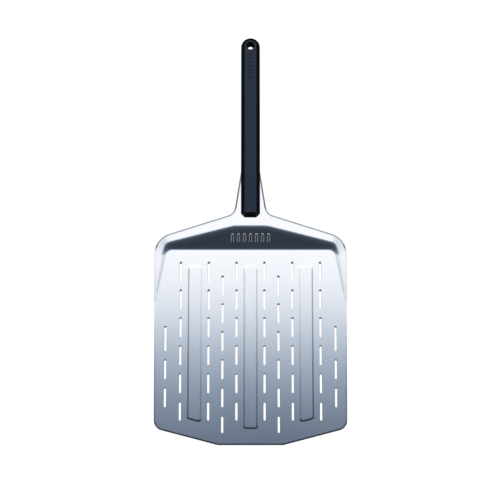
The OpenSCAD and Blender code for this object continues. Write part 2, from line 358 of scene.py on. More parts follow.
def pressed_height(x, y):
    """Height of the sheet's underside, without the ribs."""
    across = np.abs(x)
    ramp = (y - RAMP_FOOT) * RISE / (RAMP_HEAD - RAMP_FOOT)
    run = unit(WALL_FRONT - WALL_REAR)
    corner = smooth_step((y - CORNER_START) / CORNER_LENGTH)
    wall = -(across - WALL_REAR[0]) * run[1] + (y - WALL_REAR[1]) * run[0]
    wall = wall * (WALL_SLOPE + corner * (CORNER_SLOPE - WALL_SLOPE))
    foot_blend = WALL_FOOT_BLEND + (FOOT_BLEND - WALL_FOOT_BLEND) * corner
    inner = smooth_max(0, smooth_max(ramp, wall, WALL_BLEND), foot_blend)
    shoulder = smooth_min(RISE, RISE - FALL * (across - NECK_FLAT), NECK_BLEND)
    border = BORDER_RISE * (y - BORDER_START) + FALL * (BLADE_W / 2 - across)
    full = smooth_step((y - BORDER_FULL_FROM) / (BORDER_FULL_TO - BORDER_FULL_FROM))
    side = smooth_step((across - BORDER_SIDE_FROM) / (BORDER_SIDE_TO - BORDER_SIDE_FROM))
    kept = 1 - (1 - BORDER_SHARE) * (1 - full) * side
    outer = kept * smooth_max(0, smooth_min(shoulder, border, SHOULDER_BLEND), BORDER_BLEND)
    return smooth_min(inner, outer, np.minimum(HEAD_BLEND, HEAD_BLEND_SHARE * outer))


# ---------------------------------------------------------------- sheet meshes

def inside(loop, points):
    """Which points lie inside a closed loop."""
    x, y = points[:, 0], points[:, 1]
    result = np.zeros(len(points), bool)
    for (ax, ay), (bx, by) in zip(loop, np.roll(loop, -1, axis=0)):
        if ay == by:
            continue
        crossing = (ay > y) != (by > y)
        result ^= crossing & (x < ax + (y - ay) * (bx - ax) / (by - ay))
    return result


class Face:
    """One face of a plate: a plan of loops and free points that is triangulated and lifted."""

    def __init__(self, height, up):
        self.height, self.up = height, up
        self.points, self.lifts, self.slopes = [], [], []
        self.edges, self.holes, self.count = [], [], 0

    def add(self, points, lift=0.0, slopes=None):
        first = self.count
        self.points.append(points)
        self.lifts.append(np.full(len(points), lift))
        self.slopes.append(np.zeros((len(points), 2)) if slopes is None else slopes)
        self.count += len(points)
        return np.arange(first, self.count)

    def add_loop(self, points, lift=0.0, slopes=None, hole=False):
        index = self.add(points, lift, slopes)
        self.edges += list(zip(index.tolist(), np.roll(index, -1).tolist()))
        if hole:
            self.holes.append(points)
        return index

    def add_pad(self, points, normals, widths, height, shift=0.0, loops=8):
        """Concentric loops of a raised pad whose walls are a smooth step of the given widths,
        halfway up at the points, or further in by shift."""
        for k in range(loops + 1):
            t = k / loops
            steepness = 6 * t * (1 - t) / widths
            inset = (t - 0.5) * widths + shift
            self.add_loop(points - normals * inset[:, None], height * smooth_step(t),
                          -normals * (height * steepness)[:, None])

    def triangulate(self):
        """Vertices, normals and triangles of the face inside its outer loop, without its holes."""
        plan = np.concatenate(self.points)
        lift, slope = np.concatenate(self.lifts), np.concatenate(self.slopes)
        result = delaunay_2d_cdt([Vector(p) for p in plan], self.edges, [], 1, 1e-5)
        if len(result[0]) != len(plan):
            raise ValueError("two points of a plan coincide, or two of its loops cross")
        origin = np.array([sources[0] for sources in result[3]])
        triangles = origin[np.array(result[2])]
        middles = plan[triangles].mean(axis=1)
        keep = np.ones(len(triangles), bool)
        for hole in self.holes:
            near = np.all(np.abs(middles - hole.mean(axis=0)) <= np.ptp(hole, axis=0) / 2, axis=1)
            keep[near] &= ~inside(hole, middles[near])
        triangles = triangles[keep]
        step = 0.05
        x, y = plan.T
        gradient = np.stack([self.height(x + step, y) - self.height(x - step, y),
                             self.height(x, y + step) - self.height(x, y - step)], 1) / (2 * step)
        normals = np.column_stack([-(gradient + slope), np.ones(len(plan))])
        vertices = np.column_stack([plan, self.height(x, y) + lift])
        normals /= np.linalg.norm(normals, axis=1)[:, None]
        if not self.up:
            normals, triangles = -normals, triangles[:, ::-1]
        return vertices, normals, triangles


class Plate:
    """A closed mesh made of an upper face, a lower face and the rims that join their loops."""

    def __init__(self, upper, lower):
        self.upper, self.lower = upper, lower
        self.rims = []

    def add_rim(self, points, normals, rings, hole=False):
        """rings are (insets, heights above the lower face, lean from up to outwards to down,
        and optionally shifts to the rear) from the upper face to the lower one; normals point
        into the air."""
        plans = []
        for inset, _, _, *shift in rings:
            rearward = shift[0] if shift else np.zeros(len(points))
            plans.append(points - normals * inset[:, None] + rearward[:, None] * (0, 1))
        top = self.upper.add_loop(plans[0], hole=hole)
        bottom = self.lower.add_loop(plans[-1], hole=hole)
        self.rims.append((plans, normals, rings, top, bottom))

    def mesh(self, name):
        top_v, top_n, top_t = self.upper.triangulate()
        low_v, low_n, low_t = self.lower.triangulate()
        vertices, normals = [top_v, low_v], [top_n, low_n]
        faces = top_t.tolist() + (low_t + len(top_v)).tolist()
        total = len(top_v) + len(low_v)
        edge = [np.zeros(total)]
        for plans, outward, rings, top, bottom in self.rims:
            previous, count = top, len(outward)
            for k, (_, height, lean, *_) in enumerate(rings[1:], 1):
                if k == len(rings) - 1:
                    index = bottom + len(top_v)
                else:
                    z = self.lower.height(*plans[k].T) + height
                    vertices.append(np.column_stack([plans[k], z]))
                    up = np.cos(lean)[:, None] * top_n[top]
                    out = np.sin(lean)[:, None] * np.column_stack([outward, np.zeros(count)])
                    normals.append(up + out)
                    edge.append(np.ones(count))
                    index = np.arange(total, total + count)
                    total += count
                after, previous_after = np.roll(index, -1), np.roll(previous, -1)
                faces += np.column_stack([previous, index, after, previous_after]).tolist()
                previous = index
        return make_mesh(name, np.concatenate(vertices), faces,
                         np.concatenate(normals), np.concatenate(edge))


def make_mesh(name, vertices, faces, normals=None, edge=None):
    """A smooth mesh object from millimetres, without the points that no face uses."""
    used = np.unique(np.concatenate([np.asarray(f) for f in faces]))
    place = np.full(len(vertices), -1)
    place[used] = np.arange(len(used))
    mesh = bpy.data.meshes.new(name)
    mesh.from_pydata((vertices[used] * MM).tolist(), [], [[int(place[i]) for i in f] for f in faces])
    mesh.shade_smooth()
    if edge is not None:
        attribute = mesh.attributes.new("edge", "FLOAT", "POINT")
        attribute.data.foreach_set("value", edge[used].astype(np.float32))
    if normals is not None:
        mesh.normals_split_custom_set_from_vertices(normals[used].tolist())
    mesh.update()
    piece = bpy.data.objects.new(name, mesh)
    bpy.context.scene.collection.objects.link(piece)
    return piece


# ---------------------------------------------------------------- blade

# Broken outer edges: width in the plan and drop. They drop less along the sides, and along the
# front they are ground to a bevel.
EDGE_W = 2.7
EDGE_DROP = 1.5
SIDE_EDGE_DROP = 0.65
BEVEL_W = 2.8
BEVEL_DROP = 1.1
# How squarely an edge has to face the front, or a side, before its form starts to change, and
# how much more squarely before it has changed
FRONT_FACING, FRONT_CHANGE = 0.15, 0.7
SIDE_FACING, SIDE_CHANGE = 0.9, 0.1
LOWER_ROUND = 0.3
SLOT_ROUND = 0.3
SLOT_LOWER_ROUND = 0.15
# Length by which the rearmost slots' rear ends lean back from the lower edge to the upper one,
# how much of it is lost with each millimetre further forward, and how squarely the end's wall has
# to face the front to lean fully
SLOT_LEAN = 2.6
SLOT_LEAN_LOSS = 0.007
SLOT_LEAN_FACING = 0.3
# Spacing of the free points where the sheet bends, the multiple of it where the sheet is flat,
# and the bend from which the fine spacing is used
LATTICE = 1.6
COARSE = 4
BEND_LIMIT = 0.008
# Free points keep this far outside and inside a bar's outline, and inside a rib's wall
BAR_REACH = 0.8
BAR_CORE = 1.0
RIB_CORE = 1.1
# How much further in the ribs' walls stand on the underside
RIB_LOWER_SHIFT = 0.5
# Shares of a broken edge's width at which its rings lie
EDGE_SHARES = (0, 0.08, 0.3, 0.55, 0.8, 0.95, 1)


def lower_edge_rings(count, lower):
    """Rings that round a lower edge over the given length."""
    flat = np.zeros(count)
    return [(flat + inset * lower, flat + height * lower, flat + eighths * math.pi / 8)
            for inset, height, eighths in ((0, 1, 4), (0.3, 0.3, 6), (1, 0, 8))]


def outer_edge_rings(points, normals):
    """Rings of the blade's outer edge, from the upper face to the lower one: broken all round,
    less along the sides, and ground wider along the front."""
    front = smooth_step((-normals[:, 1] - FRONT_FACING) / FRONT_CHANGE) * (points[:, 1] < SIDE_L / 2)
    side = smooth_step((np.abs(normals[:, 0]) - SIDE_FACING) / SIDE_CHANGE) * (points[:, 1] < SIDE_L)
    width = EDGE_W + front * (BEVEL_W - EDGE_W)
    drop = EDGE_DROP + front * (BEVEL_DROP - EDGE_DROP) + side * (SIDE_EDGE_DROP - EDGE_DROP)
    level = np.zeros(len(points))
    ends = {EDGE_SHARES[0]: level, EDGE_SHARES[-1]: level + math.pi / 2}
    rings = [(width * (1 - share), SHEET_T - drop * share, ends.get(share, np.arctan2(drop, width)))
             for share in EDGE_SHARES]
    return rings + lower_edge_rings(len(points), LOWER_ROUND)


def hole_edge_rings(normals, upper, lean_back=0.0, steps=3):
    """Rings of a hole's edge with a rounded upper edge, leaning back where it faces the front.
    The fourth value of a ring is its shift towards the rear."""
    shift = lean_back * smooth_step(-normals[:, 1] / SLOT_LEAN_FACING)
    steepest = np.arctan2(SHEET_T, -normals[:, 1] * shift)
    flat = np.zeros(len(normals))
    rings = []
    for k in range(steps + 1):
        turn = k / steps * math.pi / 2
        lean = np.minimum(turn, steepest)
        rings.append((flat + upper * (1 - math.sin(turn)),
                      flat + SHEET_T - upper * (1 - math.cos(turn)), lean,
                      shift * (1 - upper * (1 - math.cos(turn)) / SHEET_T)))
    rings.append((flat, flat + SLOT_LOWER_ROUND, steepest, flat))
    rings.append((flat + SLOT_LOWER_ROUND, flat, flat + math.pi, flat))
    return rings


def stadium(x, y, length, radius, arc_steps=12):
    """Clockwise loop of a slot and the normals that point into it."""
    points, normals = [], []
    straight = length / 2 - radius
    for end in (1, -1):
        centre = np.array([x, y + end * straight])
        for k in range(arc_steps + 1):
            a = math.pi * (1 - k / arc_steps) if end > 0 else -math.pi * k / arc_steps
            spoke = np.array([math.cos(a), math.sin(a)])
            points.append(centre + radius * spoke)
            normals.append(-spoke)
    return np.array(points), np.array(normals)


def circle(x, y, radius, steps=64):
    """Clockwise loop of a round hole and the normals that point into it."""
    angles = -np.arange(steps) * math.tau / steps
    spokes = np.column_stack([np.cos(angles), np.sin(angles)])
    return np.array([x, y]) + radius * spokes, -spokes


def lattice(outline_in, pads, holes):
    """Free points of the blade's plan: even on the flat, dense where the sheet bends."""
    high = outline_in.max(axis=0)
    columns = np.arange(-math.ceil(high[0] / LATTICE), math.ceil(high[0] / LATTICE) + 1)
    rows = np.arange(0, math.ceil(high[1] / LATTICE) + 1)
    i, j = (g.ravel() for g in np.meshgrid(columns, rows))
    x, y = i * LATTICE, j * LATTICE
    bend = np.abs(pressed_height(x + LATTICE, y) + pressed_height(x - LATTICE, y)
                  + pressed_height(x, y + LATTICE) + pressed_height(x, y - LATTICE)
                  - 4 * pressed_height(x, y))
    stagger = j // COARSE % 2 * (COARSE // 2)
    even = ((i + stagger) % COARSE == 0) & (j % COARSE == 0)
    points = np.column_stack([x, y])[(bend > BEND_LIMIT) | even]
    points = points[inside(outline_in, points)]
    for outer, inner in pads:
        between = inside(outer, points) & ~inside(inner, points)
        points = points[~between]
    for x, y, length, radius in holes:
        reach = np.maximum(np.abs(points[:, 1] - y) - length / 2 + radius, 0)
        away = np.hypot(points[:, 0] - x, reach)
        points = points[away > radius + SLOT_LEAN + LATTICE]
    return points


def build_blade():
    """The pressed sheet with its edges, slots, screw holes, ribs and raised bars."""
    upper = Face(lambda x, y: pressed_height(x, y) + SHEET_T, up=True)
    lower = Face(pressed_height, up=False)
    plate = Plate(upper, lower)
    points, normals = blade_loop()
    plate.add_rim(points, normals, outer_edge_rings(points, normals))
    holes = [(x, y, length, SLOT_W / 2) for x, y, length in slot_places()]
    for x, y, length, radius in holes:
        loop, air = stadium(x, y, length, radius)
        lean_back = SLOT_LEAN - SLOT_LEAN_LOSS * (SLOT_REAR - y - length / 2)
        plate.add_rim(loop, air, hole_edge_rings(air, SLOT_ROUND, lean_back), hole=True)
    for y in screw_places():
        # The rearmost screw stands behind the tang
        if y > TANG_END:
            continue
        loop, air = circle(0, y, SCREW_R, SCREW_HOLE_STEPS)
        plate.add_rim(loop, air, hole_edge_rings(air, SLOT_LOWER_ROUND), hole=True)
        holes.append((0, y, 2 * SCREW_R, SCREW_R))
    ribs = []
    for index in (-1, 0, 1):
        loop, out = rounded_loop(rib_corners(index), spacing=SIDE_L, arc_step=RIB_ARC_STEP)
        end_wall = np.where(out[:, 1] > 0, RIB_REAR_WALL, RIB_FRONT_WALL)
        widths = RIB_SIDE_WALL * out[:, 0] ** 2 + end_wall * out[:, 1] ** 2
        upper.add_pad(loop, out, widths, RIB_H)
        lower.add_pad(loop, out, widths, RIB_H, shift=RIB_LOWER_SHIFT)
        reach = out * (widths / 2)[:, None]
        ribs.append((loop + reach + out * LATTICE, loop - reach - out * RIB_CORE))
    bars = []
    for index in range(RAMP_BARS):
        x = (index - (RAMP_BARS - 1) / 2) * RAMP_BAR_PITCH
        corners = bar_corners(x, RAMP_FOOT + RAMP_BAR_START, RAMP_BAR_W, RAMP_BAR_L, RAMP_BAR_R)
        loop, out = rounded_loop(corners, spacing=RAMP_BAR_SPACING, arc_step=BAR_ARC_STEP)
        walls = np.full(len(loop), RAMP_BAR_WALL)
        upper.add_pad(loop, out, walls, RAMP_MARK_H, shift=RAMP_BAR_SHIFT, loops=5)
        bars.append((loop + out * BAR_REACH, loop - out * BAR_CORE))
    inner = points - normals * (BEVEL_W + LATTICE)
    free = lattice(inner, ribs + bars, holes)
    for face, lifted in ((upper, ribs + bars), (lower, ribs)):
        rest = free
        for number, (_, core) in enumerate(lifted):
            within = inside(core, rest)
            if within.any():
                face.add(rest[within], RIB_H if number < len(ribs) else RAMP_MARK_H)
            rest = rest[~within]
        face.add(rest)
    return plate.mesh("blade_sheet")


# ---------------------------------------------------------------- handle

# Radius of a full round end as a share of half the width, so that its two corners stay apart
ROUND_END = 0.9999
# Angle in degrees from which an edge of the moulding shows as a line
SHARP_ANGLE = 38


def handle_outline(half_w, start, end, cut, corner_r):
    """Anticlockwise corners of the handle's plan, with a cut nose and a round rear end."""
    return [(-half_w + cut, start, corner_r), (half_w - cut, start, corner_r),
            (half_w, start + cut, corner_r), (half_w, end, half_w * ROUND_END),
            (-half_w, end, half_w * ROUND_END), (-half_w, start + cut, corner_r)]


def softened(corners, soft, steps=5):
    """Points of a polyline with its inner corners rounded over a length soft."""
    path = [np.array(corners[0], float)]
    for a, b, c in zip(corners, corners[1:], corners[2:]):
        a, b, c = (np.array(p, float) for p in (a, b, c))
        start, end = b + unit(a - b) * soft, b + unit(c - b) * soft
        for k in range(steps + 1):
            t = k / steps
            path.append((1 - t) ** 2 * start + 2 * t * (1 - t) * b + t * t * end)
    return path


def build_shell(name, up):
    """Outer form of one handle shell: band, chamfers, face, hanging hole and sunk bars."""
    # Steps in each corner's arc, and pieces of the side that follows it: the rear end is round,
    # and only the two long sides are divided
    steps, pieces = (3, 3, 3, 20, 20, 3), (1, 1, 36, 1, 36, 1)
    side = matched_loop(handle_outline(HANDLE_W / 2, HANDLE_START, HANDLE_END,
                                       (HANDLE_W - NOSE_W) / 2, NOSE_R), steps, pieces)
    face = matched_loop(handle_outline(FACE_W / 2, HANDLE_START + NOSE_CHAMFER,
                                       HOLE_Y + FACE_W / 2, FACE_NOSE_CUT, FACE_NOSE_R), steps, pieces)
    path = [np.array([SEAM_W, 0.0])] + softened(
        [(0.0, SEAM_H), (0, BAND_H), (SIDE_CHAMFER, HALF_T),
         (SIDE_CHAMFER + FACE_FLAT, HALF_T)], EDGE_SOFT)
    rings = []
    for inset, height in path:
        share = inset / SIDE_CHAMFER
        rings.append(np.column_stack([side * (1 - share) + face * share,
                                      np.full(len(side), height)]))
    top = Face(lambda x, y: np.full(np.shape(x), HALF_T), up=True)
    base = Face(lambda x, y: np.zeros(np.shape(x)), up=False)
    top_ring = top.add_loop(rings[-1][:, :2])
    base_ring = base.add_loop(rings[0][:, :2])
    mouth_r = HOLE_R + HOLE_CHAMFER
    hole_path = softened([(HOLE_R, 0.0), (HOLE_R, HALF_T - HOLE_CHAMFER), (mouth_r, HALF_T),
                          (mouth_r + HOLE_FLAT, HALF_T)], HOLE_SOFT, 3)
    hole_rings = []
    for radius, height in hole_path:
        loop, _ = circle(0, HOLE_Y, radius)
        hole_rings.append(np.column_stack([loop, np.full(len(loop), height)]))
    top_hole = top.add_loop(hole_rings[-1][:, :2], hole=True)
    base_hole = base.add_loop(hole_rings[0][:, :2], hole=True)
    if up:
        for index in range(FACE_BARS):
            y = HOLE_Y - FACE_BAR_START - index * FACE_BAR_PITCH
            corners = bar_corners(0.0, y, FACE_BAR_L, FACE_BAR_W, FACE_BAR_R)
            loop, out = rounded_loop(corners, spacing=FACE_BAR_SPACING, arc_step=BAR_ARC_STEP)
            walls = np.full(len(loop), FACE_BAR_WALL)
            top.add_pad(loop, out, walls, -MARK_H, shift=FACE_BAR_SHIFT, loops=4)
    top_v, _, top_t = top.triangulate()
    base_v, _, base_t = base.triangulate()
    vertices = [top_v, base_v]
    faces = top_t.tolist() + (base_t + len(top_v)).tolist()
    total = len(top_v) + len(base_v)
    for loops, lower_index, upper_index in ((rings, base_ring, top_ring),
                                            (hole_rings, base_hole, top_hole)):
        previous = lower_index + len(top_v)
        for k, ring in enumerate(loops[1:], 1):
            if k == len(loops) - 1:
                index = upper_index
            else:
                vertices.append(ring)
                index = np.arange(total, total + len(ring))
                total += len(ring)
            after, previous_after = np.roll(index, -1), np.roll(previous, -1)
            faces += np.column_stack([previous, previous_after, after, index]).tolist()
            previous = index
    vertices = np.concatenate(vertices)
    if not up:
        vertices = vertices * (1, 1, -1)
        faces = [f[::-1] for f in faces]
    vertices = vertices + (0, 0, MID_Z)
    return make_mesh(name, vertices, faces)


def prism(name, loop, low, high):
    """Closed prism over an anticlockwise plan loop."""
    count = len(loop)
    bottom = np.column_stack([loop, np.full(count, low)])
    top = np.column_stack([loop, np.full(count, high)])
    index = np.arange(count)
    after = np.roll(index, -1)
    faces = np.column_stack([index, after, after + count, index + count]).tolist()
    faces += [index[::-1].tolist(), (index + count).tolist()]
    return make_mesh(name, np.concatenate([bottom, top]), faces)


def cut_away(piece, cutters):
    """Subtracts closed meshes from a piece and deletes them."""
    for cutter in cutters:
        modifier = piece.modifiers.new("cut", "BOOLEAN")
        modifier.operation, modifier.solver, modifier.object = "DIFFERENCE", "EXACT", cutter
    bpy.context.view_layer.update()
    cut_piece = piece.evaluated_get(bpy.context.evaluated_depsgraph_get())
    cut_mesh = bpy.data.meshes.new_from_object(cut_piece)
    piece.modifiers.clear()
    old = piece.data
    cut_mesh.name = old.name
    piece.data = cut_mesh
    bpy.data.meshes.remove(old)
    for cutter in cutters:
        bpy.data.meshes.remove(cutter.data)


def round_cutter(name, y, radius, low, high):
    """Closed cylinder on the handle's middle line."""
    loop, _ = circle(0, y, radius, CUTTER_STEPS)
    return prism(name, loop[::-1], low, high)


def tang_cutter():
    """Closed prism of the neck and the tang with play all round."""
    wide = NECK_END_W / 2 + POCKET_PLAY
    narrow = TANG_W / 2 + POCKET_PLAY
    step_end = NECK_END + TANG_STEP + POCKET_PLAY
    right = [(wide, HANDLE_START - CUT_PAST), (wide, NECK_END + POCKET_PLAY), (narrow, step_end),
             (narrow, TANG_END + POCKET_PLAY)]
    loop = np.array(right + [(-x, y) for x, y in reversed(right)])
    half = SHEET_T / 2 + POCKET_GAP
    return prism("tang_cutter", loop, MID_Z - half, MID_Z + half)


def screw_places():
    """The y of every screw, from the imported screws' own solids."""
    ys = sorted(v.co.y / MM for v in frame["nodes"]["handle_screws"].data.vertices)
    groups = [[ys[0]]]
    # The points of one screw lie closer together than it is wide
    for y in ys[1:]:
        if y - groups[-1][-1] > 2 * SCREW_R:
            groups.append([])
        groups[-1].append(y)
    return [(g[0] + g[-1]) / 2 for g in groups]


def finish_plastic(piece):
    """Smooth shading with sharp lines where the moulding has them."""
    piece.data.shade_smooth()
    piece.data.set_sharp_from_angle(angle=math.radians(SHARP_ANGLE))
    weighted = piece.modifiers.new("even_shading", "WEIGHTED_NORMAL")
    weighted.keep_sharp = True


def build_handle():
    """Both shells, opened for the tang, the screws and the inserts."""
    front = build_shell("handle_front_half", True)
    back = build_shell("handle_back_half", False)
    seat = box_mm("handle_screws")[0][2] + HEAD_H
    insert_top = box_mm("threaded_inserts")[1][2]
    places = screw_places()
    below, above = MID_Z - CUT_PAST, MID_Z + CUT_PAST
    bores = [round_cutter("bore", y, INSERT_R, below, insert_top + INSERT_PLAY) for y in places]
    cut_away(front, [tang_cutter()] + bores)
    holes = [round_cutter("clearance", y, SCREW_R, seat - CUT_PAST, above) for y in places]
    holes += [round_cutter("counterbore", y, COUNTERBORE_R, BACK_LOW[2] - CUT_PAST, seat)
              for y in places]
    cut_away(back, [tang_cutter()] + holes)
    for piece in (front, back):
        finish_plastic(piece)
    return front, back


# ---------------------------------------------------------------- materials

# Width of the painted highlight on either side of the edges of the handle's faces
EDGE_HIGHLIGHT_W = 0.7


class Graph:
    """A material's node tree, with short ways to add and join nodes."""

    def __init__(self, name):
        self.material = bpy.data.materials.new(name)
        self.material.use_nodes = True
        self.tree = self.material.node_tree
        self.tree.nodes.clear()
        self.surface = self.node("ShaderNodeOutputMaterial").inputs["Surface"]
        self.place = self.node("ShaderNodeTexCoord").outputs["Object"]

    def node(self, kind, **settings):
        made = self.tree.nodes.new(kind)
        for key, value in settings.items():
            setattr(made, key, value)
        return made

    def link(self, output, target):
        self.tree.links.new(output, target)

    def math(self, operation, a, b=0.0, clamp=False):
        made = self.node("ShaderNodeMath", operation=operation, use_clamp=clamp)
        for socket, value in zip(made.inputs, (a, b)):
            if isinstance(value, (int, float)):
                socket.default_value = value
            else:
                self.link(value, socket)
        return made.outputs[0]

    def split(self, vector):
        made = self.node("ShaderNodeSeparateXYZ")
        self.link(vector, made.inputs[0])
        return made.outputs

    def noise(self, scale, stretch=(1, 1, 1), detail=2.0, roughness=0.5):
        """Noise of so many cells a metre, stretched along each axis."""
        mapping = self.node("ShaderNodeMapping")
        mapping.inputs["Scale"].default_value = stretch
        self.link(self.place, mapping.inputs["Vector"])
        made = self.node("ShaderNodeTexNoise")
        made.inputs["Scale"].default_value = scale
        made.inputs["Detail"].default_value = detail
        made.inputs["Roughness"].default_value = roughness
        self.link(mapping.outputs[0], made.inputs["Vector"])
        return made.outputs["Fac"]

    def spread(self, value, low, high):
        """Maps 0..1 to low..high."""
        made = self.node("ShaderNodeMapRange")
        self.link(value, made.inputs["Value"])
        made.inputs["To Min"].default_value = low
        made.inputs["To Max"].default_value = high
        return made.outputs["Result"]

    def mix(self, factor, a, b):
        made = self.node("ShaderNodeMix", data_type="RGBA")
        for socket, value in zip((made.inputs[0], made.inputs[6], made.inputs[7]), (factor, a, b)):
            if isinstance(value, tuple):
                socket.default_value = (*value, 1.0)
            else:
                self.link(value, socket)
        return made.outputs[2]

    def bump(self, height, strength, distance):
        made = self.node("ShaderNodeBump")
        made.inputs["Strength"].default_value = strength
        made.inputs["Distance"].default_value = distance
        self.link(height, made.inputs["Height"])
        return made.outputs["Normal"]

    def principled(self, **values):
        made = self.node("ShaderNodeBsdfPrincipled")
        for key, value in values.items():
            socket = made.inputs[key.replace("_", " ")]
            if isinstance(value, (int, float)):
                socket.default_value = value
            elif isinstance(value, tuple):
                socket.default_value = (*value, 1.0)
            else:
                self.link(value, socket)
        self.link(made.outputs["BSDF"], self.surface)
        return self.material


def sheet_material():
    """Satin aluminium with a fine grain along the blade, faint clouding and polished edges."""
    g = Graph("satin_aluminium")
    grain = g.noise(60, (45, 1, 20), detail=4, roughness=0.6)
    streaks = g.noise(14, (22, 0.6, 8), detail=3)
    clouds = g.noise(9, detail=4)
    edge = g.node("ShaderNodeAttribute", attribute_name="edge").outputs["Fac"]
    shade = g.mix(clouds, (0.84, 0.85, 0.87), (0.89, 0.9, 0.92))
    shade = g.mix(g.math("MULTIPLY", streaks, 0.2), shade, (0.78, 0.79, 0.82))
    colour = g.mix(edge, shade, (0.9, 0.91, 0.93))
    rough = g.math("ADD", g.spread(grain, 0.15, 0.22), g.spread(clouds, -0.02, 0.03))
    rough = g.math("SUBTRACT", rough, g.math("MULTIPLY", edge, 0.04))
    normal = g.bump(grain, 0.05, 0.0002)
    return g.principled(Base_Color=colour, Metallic=1.0, Roughness=rough, Normal=normal)


def grip_material():
    """Glass-filled nylon: fine spark-eroded texture, slight cloudiness, and a painted highlight that
    lightens the colour along the face edges.
    """
    g = Graph("moulded_nylon")
    texture = g.noise(1900, detail=3, roughness=0.65)
    swirl = g.noise(45, (1, 0.35, 1), detail=4)
    patchiness = g.noise(160, detail=3)
    # Painted highlight: a band along the long edges of the face, broken up by noise, where the colour
    # is lightened
    across = g.math("ABSOLUTE", g.split(g.place)[0])
    from_edge = g.math("ABSOLUTE", g.math("SUBTRACT", across, FACE_W / 2 * MM))
    near_edge = g.math("SUBTRACT", 1.0, g.math("DIVIDE", from_edge, EDGE_HIGHLIGHT_W * MM), clamp=True)
    painted_highlight = g.math("MULTIPLY", near_edge, g.spread(patchiness, -0.3, 1.3), clamp=True)
    colour = g.mix(swirl, (0.002, 0.0024, 0.0035), (0.004, 0.0048, 0.007))
    # The painted highlight is mixed into the base colour here
    colour = g.mix(painted_highlight, colour, (0.05, 0.058, 0.072))
    rough = g.math("ADD", g.spread(swirl, 0.27, 0.34), g.spread(patchiness, -0.03, 0.04))
    normal = g.bump(texture, 0.1, 0.0001)
    return g.principled(Base_Color=colour, Roughness=rough, Normal=normal, IOR=1.575,
                        Specular_Tint=(0.49, 0.64, 0.98))


def screw_material():
    """Zinc-plated steel with turning marks."""
    g = Graph("plated_steel")
    marks = g.noise(900, (1, 1, 6), detail=3)
    stain = g.noise(220, detail=3)
    colour = g.mix(stain, (0.50, 0.51, 0.53), (0.62, 0.62, 0.63))
    normal = g.bump(marks, 0.08, 0.0001)
    rough = g.spread(marks, 0.24, 0.38)
    return g.principled(Base_Color=colour, Metallic=1.0, Roughness=rough, Normal=normal)


def insert_material():
    """Machined brass, slightly tarnished."""
    g = Graph("machined_brass")
    marks = g.noise(1200, (1, 1, 8), detail=2)
    tarnish = g.noise(260, detail=3)
    colour = g.mix(tarnish, (0.78, 0.58, 0.26), (0.62, 0.44, 0.2))
    normal = g.bump(marks, 0.1, 0.0001)
    rough = g.spread(marks, 0.25, 0.4)
    return g.principled(Base_Color=colour, Metallic=1.0, Roughness=rough, Normal=normal)


def floor_material():
    """Pale floor, bright to the camera and calm in reflections. It is clear from below."""
    g = Graph("pale_floor")
    path = g.node("ShaderNodeLightPath").outputs["Is Camera Ray"]
    behind = g.node("ShaderNodeNewGeometry").outputs["Backfacing"]
    paper = g.noise(3, detail=3)
    bright = g.node("ShaderNodeBsdfDiffuse")
    g.link(g.mix(paper, (0.28, 0.285, 0.29), (0.32, 0.325, 0.33)), bright.inputs["Color"])
    calm = g.node("ShaderNodeBsdfDiffuse")
    g.link(g.mix(paper, (0.045, 0.048, 0.05), (0.055, 0.058, 0.06)), calm.inputs["Color"])
    glow = g.node("ShaderNodeEmission")
    glow.inputs["Strength"].default_value = FLOOR_GLOW
    lit = g.node("ShaderNodeAddShader")
    g.link(bright.outputs[0], lit.inputs[0])
    g.link(glow.outputs[0], lit.inputs[1])
    seen = g.node("ShaderNodeMixShader")
    g.link(path, seen.inputs[0])
    g.link(calm.outputs[0], seen.inputs[1])
    g.link(lit.outputs[0], seen.inputs[2])
    clear = g.node("ShaderNodeBsdfTransparent")
    sided = g.node("ShaderNodeMixShader")
    from_below = g.node("ShaderNodeLightPath").outputs["Transparent Depth"]
    g.link(g.math("ADD", behind, from_below, clamp=True), sided.inputs[0])
    g.link(seen.outputs[0], sided.inputs[1])
    g.link(clear.outputs[0], sided.inputs[2])
    g.link(sided.outputs[0], g.surface)
    return g.material


def dress(piece, material):
    """Gives a piece its material."""
    piece.data.materials.clear()
    piece.data.materials.append(material)


# ---------------------------------------------------------------- studio

# The floor's own light, half its width in metres, and its distance below the blade
FLOOR_GLOW = 0.95
FLOOR_HALF = 12.0
FLOOR_DROP = 0.3
# Light from each direction along the peel: degrees from overhead towards the handle, colour
STUDIO = (
    (-110, (0.003, 0.004, 0.006)),
    (-80, (0.018, 0.022, 0.029)),
    (-50, (0.040, 0.049, 0.067)),
    (-25, (0.046, 0.061, 0.088)),
    (-13, (0.062, 0.088, 0.134)),
    (-7, (0.114, 0.166, 0.243)),
    (-3, (0.282, 0.385, 0.52)),
    (0, (0.84, 0.94, 1.06)),
    (3, (1.32, 1.29, 1.28)),
    (7, (1.26, 1.25, 1.25)),
    (11, (0.98, 1.0, 1.04)),
    (16, (1.10, 1.10, 1.13)),
    (28, (1.2, 1.2, 1.22)),
    (44, (1.2, 1.2, 1.22)),
    (62, (0.5, 0.56, 0.66)),
    (80, (0.1, 0.12, 0.15)),
    (110, (0.02, 0.025, 0.03)),
)
STUDIO_PEAK = 1.4
# The strip fades towards both sides, over these degrees from overhead, down to a small share
SIDE_FADE_START = 33
SIDE_FADE_END = 62
SIDE_FLOOR = 0.03
# Fill light on both sides, low down in front of and behind the peel
FILL_COLOUR = (0.36, 0.39, 0.44)
FILL_SIDE_FROM, FILL_SIDE_TO = 26, 44
FILL_ALONG_FROM, FILL_ALONG_TO = 40, 62
# Light that reaches the underside. It weakens to a share straight down, from the one value of
# the direction's downward part to the other.
UNDER_COLOUR = (0.62, 0.66, 0.72)
UNDER_CENTRE = 0.25
UNDER_FROM, UNDER_TO = 0.3, 1.0
BACKDROP = (1.0, 1.0, 1.0)


